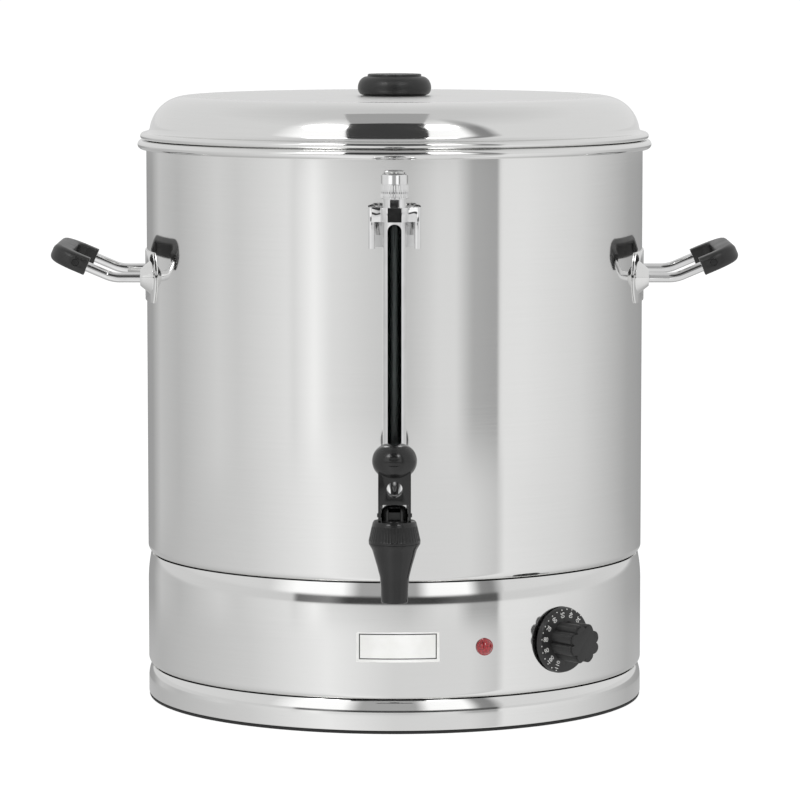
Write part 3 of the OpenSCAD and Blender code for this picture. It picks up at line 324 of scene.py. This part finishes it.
def finish_mesh(name, bm):
    """Turns bmesh geometry into a mesh with smooth shading between its sharp edges."""
    bmesh.ops.recalc_face_normals(bm, faces=bm.faces)
    mesh = bpy.data.meshes.new(name)
    bm.to_mesh(mesh)
    bm.free()
    mesh.polygons.foreach_set("use_smooth", [True] * len(mesh.polygons))
    mesh.set_sharp_from_angle(angle=sharp_angle)
    return mesh


def arc(x, z, r, start, end, steps):
    turns = [math.radians(start + (end - start) * i / steps) for i in range(steps + 1)]
    return [(x + r * math.cos(turn), z + r * math.sin(turn)) for turn in turns]


def sheet(path):
    """The outline of a sheet whose outer face is path and whose metal lies to the left of it."""
    points = [Vector(p) for p in path]
    ways = [(b - a).normalized() for a, b in zip(points, points[1:])]
    inner = []
    for i, point in enumerate(points):
        before, after = ways[max(i - 1, 0)], ways[min(i, len(ways) - 1)]
        left = Vector((-before.y, before.x))
        middle = (left + Vector((-after.y, after.x))).normalized()
        inner.append(tuple(point + middle * sheet_t / middle.dot(left)))
    return list(path) + inner[::-1]


def spun(name, outline, material, body, *replaced, steps=288, closed=True):
    """A piece whose outline of (radius, height) in millimetres is spun round the Z axis."""
    bm = bmesh.new()
    verts = [bm.verts.new((r / 1000, 0, z / 1000)) for r, z in outline]
    following = verts[1:] + verts[:1] if closed else verts[1:]
    edges = [bm.edges.new(pair) for pair in zip(verts, following)]
    bmesh.ops.spin(bm, geom=verts + edges, cent=(0, 0, 0), axis=(0, 0, 1), angle=2 * math.pi,
                   steps=steps, use_merge=True)
    bmesh.ops.remove_doubles(bm, verts=bm.verts, dist=close)
    return piece(name, finish_mesh(name, bm), material, body, *replaced)


def shoulder(r, top):
    """The shoulder of radius r that turns in from the wall to the ledge at the height top."""
    turn = math.degrees(math.acos(1 - groove / r))
    foot = top - r * math.sin(math.radians(turn))
    return arc(body_r - r, foot, r, 0, turn, 14) + [(ledge_r, top)]


bright_steel = steel("bright_steel", "ECECEB", "EAEAE9", 0.05, 0.08, 900.0, 0.002)
satin_steel = steel("satin_steel", "D2D2D0", "C4C4C2", 0.24, 0.34, 700.0, 0.05)
zinc = plated("zinc", "C9CCCE", "AEB2B5", 0.25, 0.42)
black_rubber = plastic("black_rubber", "1B1B1B", "141414", 0.6, 0.75, 900.0, 0.12)

ring_foot = [(194.2, 2.2)] + arc(198.4, 3.8, 1.6, -90, 0, 8)
spun("base_ring_shell", sheet(ring_foot + shoulder(26, ring_top)), bright_steel, "urn",
     "base_ring")
spun("edging", [
    (192, 0), (198.6, 0), (199.3, 0.3), (199.6, 1), (199.6, 2.2), (194, 2.2), (194, 3), (197, 3),
    (197, 5), (192, 5)], black_rubber, "urn", "rubber_edging")
dress(satin_steel, "bottom_plate")
dress(zinc, "plate_screws")


# ---- Base housing ----
# One steel hoop round the electrics, with a rounded lower edge and a gentle shoulder under the
# tank. It stands on the ring's ledge.

edge_r = 6.4


def lower_edge(z):
    """The inner lip and the rounded lower edge of a shell that stands on a ledge at height z."""
    return [(ledge_r, z)] + arc(body_r - edge_r, z + edge_r, edge_r, -90, 0, 12)


spun("housing_shell", sheet(lower_edge(ring_top) + shoulder(110, housing_top)), bright_steel,
     "urn", "base_housing")


# ---- Tank ----
# A single wall of bright sheet, satin inside. Its rim is rolled over a wire into a bead, and the
# flat floor is welded in just above the ledge.

rim_z = 447
inner_steel = steel("inner_steel", "E2E2E0", "D6D6D4", 0.5, 0.6, 700.0, 0.05)

bead = arc(203.25, rim_z, 3.75, -150.07, 180, 30)
inner_edge = arc(body_r - edge_r, housing_top + edge_r, edge_r - sheet_t, 0, -90, 12)
tank = spun("tank_shell",
            lower_edge(housing_top) + bead + [(body_r - sheet_t, rim_z)] + inner_edge
            + [(ledge_r, housing_top + sheet_t)],
            bright_steel, "urn", "tank_wall", "tank_rim")
tank.data.materials.append(inner_steel)
for face in tank.data.polygons:
    if face.center.xy.length < 0.1995 and face.center.z > 0.1238:
        face.material_index = 1
dress(inner_steel, "tank_floor")


# ---- Lid and its knob ----
# One pressing: a skirt that drops into the tank, an edge rolled out over the bead, and a shoulder
# round a flat top. The black knob is a low moulding, held by a screw from inside.

lid_top = 485.5
lid_steel = steel("lid_steel", "ECECEB", "EAEAE9", 0.05, 0.08, 900.0, 0.002, flat_top=0.3)
# Black plastic, also laid on the guard's chrome inside as painted shade.
black_plastic = plastic("black_plastic", "232323", "1D1D1D", 0.34, 0.44, 1500.0, 0.06)

spun("lid_shell", sheet(
    [(197.7, 442.05), (197.7, 451.05)] + arc(202.05, 453.8, 2.75, -90, 90, 14)
    + arc(201.6, 461.2, 4.65, -90, -172, 10) + arc(167.5, lid_top - 30, 30, 10.9, 90, 28)
    + [(2.2, lid_top)]), lid_steel, "lid", "lid")

# The knob's flank curves out from its foot to its widest place, and in again to the top.
knob_foot, knob_widest = 486.2, 491.8
knob = [(0, lid_top), (25.0, lid_top), (25.2, knob_foot)]
for turn in range(9, 91, 9):
    turn = math.radians(turn)
    knob.append((25.6 + 4 * math.sin(turn), knob_foot + 5.6 * (1 - math.cos(turn))))
for turn in range(5, 76, 5):
    turn = math.radians(turn)
    knob.append((21.1 + 8.5 * math.cos(turn) ** 0.9, knob_widest + 9 * math.sin(turn) / 0.966))
knob += [(21.9, 501.0), (21.7, 501.2), (21.6, 502.4), (21.3, 502.8), (20.8, 503.0),
         (18.0, 502.9), (0, 502.7)]
spun("lid_knob_moulding", knob, black_plastic, "lid", "lid_knob", steps=96, closed=False)
dress(zinc, "lid_knob_screw", "lid_knob_washer")


# ---- Handles ----
# Two black grips on bent steel rods. Each pair of rods ends in the drawn cones of one plate, which
# is welded to the tank's wall.

def smoothed(name, node, material, bevel=0.0, flat=None, body="urn"):
    """A smooth copy of a CAD node takes its place, with its sharp edges rounded by bevel, in
    millimetres. Its front is filed flat where flat gives the distance forward and the heights
    between."""
    bm = bmesh.new()
    bm.from_mesh(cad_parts[node].data)
    bmesh.ops.remove_doubles(bm, verts=bm.verts, dist=close)
    bmesh.ops.dissolve_limit(bm, angle_limit=math.radians(0.5), verts=bm.verts, edges=bm.edges)
    if flat:
        out, low, high = (v / 1000 for v in flat)
        for z in (low, high):
            bmesh.ops.bisect_plane(bm, geom=bm.verts[:] + bm.edges[:] + bm.faces[:], dist=close,
                                   plane_co=(0, 0, z), plane_no=(0, 0, 1))
        for vert in bm.verts:
            if low - close < vert.co.z < high + close:
                vert.co.y = max(vert.co.y, -out)
    if bevel:
        sharp = [edge for edge in bm.edges
                 if len(edge.link_faces) == 2 and edge.calc_face_angle() > sharp_angle]
        bmesh.ops.bevel(bm, geom=sharp, offset=bevel / 1000, segments=2, profile=0.5,
                        affect="EDGES", clamp_overlap=True)
    mesh = finish_mesh(name, bm)
    if flat:
        filed = {vert.index for vert in mesh.vertices if abs(vert.co.y + out) < close}
        for edge in mesh.edges:
            edge.use_edge_sharp |= filed.issuperset(edge.vertices)
    return piece(name, mesh, material, body, node)


chrome = plated("chrome", "EFEFEF", "E6E6E6", 0.03, 0.08)
dark_steel = plated("dark_steel", "4A4A4A", "3A3A3A", 0.2, 0.3)

for side in ("left", "right"):
    smoothed(side + "_rods", side + "_handle_rod", chrome)
    smoothed(side + "_plate", side + "_handle_plate", bright_steel, 0.3)
    smoothed(side + "_moulding", side + "_grip", black_plastic, 0.6)
dress(dark_steel, "left_grip_screws", "right_grip_screws")


# ---- Sight gauge ----
# A glass tube in a chromed guard with a long window. Below it stands in the base that is screwed
# through the tank's wall, and above it is held in a ribbed bracket under a knurled cap.

gauge_y = -0.226
silicone = plastic("silicone", "DAD6CA", "CDC8BA", 0.5, 0.6, 900.0, 0.08)
clear_glass, tree, shader, place = new_material(
    "clear_glass", Base_Color=rgb("F4F9F8"), Transmission_Weight=1.0, IOR=1.2)
smears = spread(tree, noise(tree, place, 40.0), 0.0, 0.04)
tree.links.new(smears, shader.inputs["Roughness"])

smoothed("gauge_fitting", "gauge_base", chrome)
guard = smoothed("guard_tube", "gauge_guard", chrome, 0.4, flat=(234.3, 408.9, 414.6))

# The inside of the guard is painted shade: its faces, which look back at its own axis, take the
# black plastic in place of chrome.
guard.data.materials.append(black_plastic)
for face in guard.data.polygons:
    if face.normal.dot(face.center - Vector((0, gauge_y, face.center.z))) < -0.001:
        face.material_index = 1
smoothed("glass_tube", "gauge_glass", clear_glass)
smoothed("ribbed_bracket", "gauge_bracket", chrome, 0.2, flat=(235.3, 397, 409))
smoothed("knurled_cap", "gauge_cap", chrome, 0.15, body="cap")
dress(silicone, "glass_seal", "cap_washer")
dress(zinc, "shank_nut", "bracket_nut", "bracket_washer", "shank_washers")


# ---- Tap ----
# A black moulded body with its nozzle, a knurled bonnet with a domed hub, and a tall lever whose
# foot lifts the sprung stem when the ball is pulled forward.

black_gloss = plastic("black_gloss", "1C1C1C", "171717", 0.16, 0.22, 1200.0, 0.02)

smoothed("tap_moulding", "tap_body", black_gloss, 0.4)
smoothed("bonnet_moulding", "tap_bonnet", black_gloss)
smoothed("lever_moulding", "tap_lever", black_gloss, 0.8, body="lever")
dress(satin_steel, "valve_spring")
dress(black_gloss, "valve_stem", "lever_pin")
dress(silicone, "seat_cup")
dress(black_rubber, "stem_seal")


# ---- Thermostat and its dial ----
# A black knob with a fluted grip on a wide skirt, printed in white with the temperatures and a dot
# for each step of five degrees. Inside, the thermostat's spindle, body and bulb.

copper = plated("copper", "C07A52", "9C5C3C", 0.25, 0.4)
white_print = plastic("white_print", "F4F4F2", "EDEDEA", 0.5, 0.6, 900.0, 0.05)

smoothed("dial_moulding", "thermostat_knob", black_plastic, 0.25, body="dial")
dress(zinc, "thermostat_spindle", "thermostat_body", "thermostat_screws")
dress(copper, "thermostat_bulb", "capillary")
dress(satin_steel, "bulb_clips")

dial_face = (Matrix.Rotation(math.radians(40.3), 4, "Z") @ Matrix.Translation((0, -0.2055, 0.0665))
             @ Matrix.Rotation(math.radians(90), 4, "X"))
upright = Matrix.Rotation(math.pi, 4, "Z") @ Matrix.Diagonal((0.92, 1, 1, 1))
coldest, hottest = 30, 110
first_mark, mark_step = 48, 2.5
dot_r = 0.00045


def on_dial(degrees, out):
    """The place of a temperature's mark on the dial's face, at a distance out from its middle."""
    turn = math.radians(first_mark + mark_step * (degrees - coldest))
    return dial_face @ Matrix.Rotation(turn, 4, "Z") @ Matrix.Translation((out, 0, 0))


def laid_text(words, size, place):
    """Words as a thin mesh, centred on the frame that place gives: right, up and out."""
    curve = bpy.data.curves.new("words", "FONT")
    curve.body = words
    curve.size = size
    curve.align_x = "CENTER"
    curve.align_y = "CENTER"
    curve.extrude = 0.00006
    curve.resolution_u = 3
    text = bpy.data.objects.new("words", curve)
    mesh = bpy.data.meshes.new_from_object(text)
    bpy.data.objects.remove(text)
    mesh.transform(place)
    return mesh


bm = bmesh.new()
for number in range(coldest, hottest + 1, 10):
    words = laid_text(str(number), 0.0052, on_dial(number, 0.0203) @ upright)
    bm.from_mesh(words)
    bpy.data.meshes.remove(words)
for number in range(coldest, hottest + 1, 5):
    bmesh.ops.create_cone(bm, cap_ends=True, segments=16, radius1=dot_r, radius2=dot_r,
                          depth=0.00012, matrix=on_dial(number, 0.0244))
piece("dial_print", finish_mesh("dial_print", bm), white_print, "dial")


# ---- Lamp and plate ----
# A red lens in a black body, and a bare white plate that hugs the housing, with a thin dark line
# printed round it.

red_lens, tree, shader, place = new_material(
    "red_lens", IOR=1.49, Coat_Weight=1.0, Coat_Roughness=0.03)
cells = add(tree, "TexVoronoi", {"Vector": place, "Scale": 800.0}).outputs["Distance"]
cell_colour = ramp(tree, cells, [(0.0, "B8202A"), (0.5, "9A1620"), (0.9, "6E0D15")])
tree.links.new(cell_colour, shader.inputs["Base Color"])
tree.links.new(spread(tree, cells, 0.08, 0.2), shader.inputs["Roughness"])
bumped(tree, shader, cells, 0.1, 0.0002)

smoothed("lens", "lamp_lens", red_lens, 0.2)
dress(black_plastic, "lamp_body", "lamp_nut")


def on_housing(name, material, out, *blocks):
    """A piece of thin curved blocks on the housing, whose faces stand out mm off. Each block gives
    its left and right sides round the housing and its low and high sides up it, in millimetres."""
    sunk = -0.1
    bm = bmesh.new()
    for left, right, low, high in blocks:
        made = bmesh.ops.create_grid(bm, x_segments=24, y_segments=1, size=0.5)["verts"]
        faces = list({face for vert in made for face in vert.link_faces})
        extruded = bmesh.ops.extrude_face_region(bm, geom=faces)["geom"]
        raised = [e for e in extruded if isinstance(e, bmesh.types.BMVert)]
        for vert in made + raised:
            turn = (left + (vert.co.x + 0.5) * (right - left)) / body_r
            r = (body_r + (out if vert in raised else sunk)) / 1000
            z = (low + (vert.co.y + 0.5) * (high - low)) / 1000
            vert.co = r * math.sin(turn), -r * math.cos(turn), z
    piece(name, finish_mesh(name, bm), material, "urn")


on_housing("plate", white_print, 0.25, (-29.6, 34.7, 56.2, 79.6))
left, right, low, high, line = -27.5, 32.6, 58.5, 78.4, 0.8
on_housing("plate_line", black_plastic, 0.28,
           (left, right, high - line, high), (left, right, low, low + line),
           (left, left + line, low + line, high - line),
           (right - line, right, low + line, high - line))


# ---- Electrics under the tank ----
# The element, its fittings, the cutout, the terminals and the cable's gland keep their CAD shapes.
# They are out of sight from the front, so only their materials are set here.

brass = plated("brass", "C9A35A", "B08A45", 0.22, 0.36)
dark_plastic = plastic("dark_plastic", "303030", "262626", 0.45, 0.55, 1500.0, 0.08)
pale_plastic = plastic("pale_plastic", "E2DCCB", "D4CDBA", 0.45, 0.55, 1200.0, 0.06)

dress(satin_steel, "heating_element")
dress(brass, "element_bushes", "element_nuts", "earth_stud")
dress(silicone, "element_gaskets")
dress(dark_plastic, "thermal_cutout")
dress(zinc, "cutout_nuts")
dress(pale_plastic, "terminal_block")
dress(black_plastic, "cable_gland", "gland_nut")
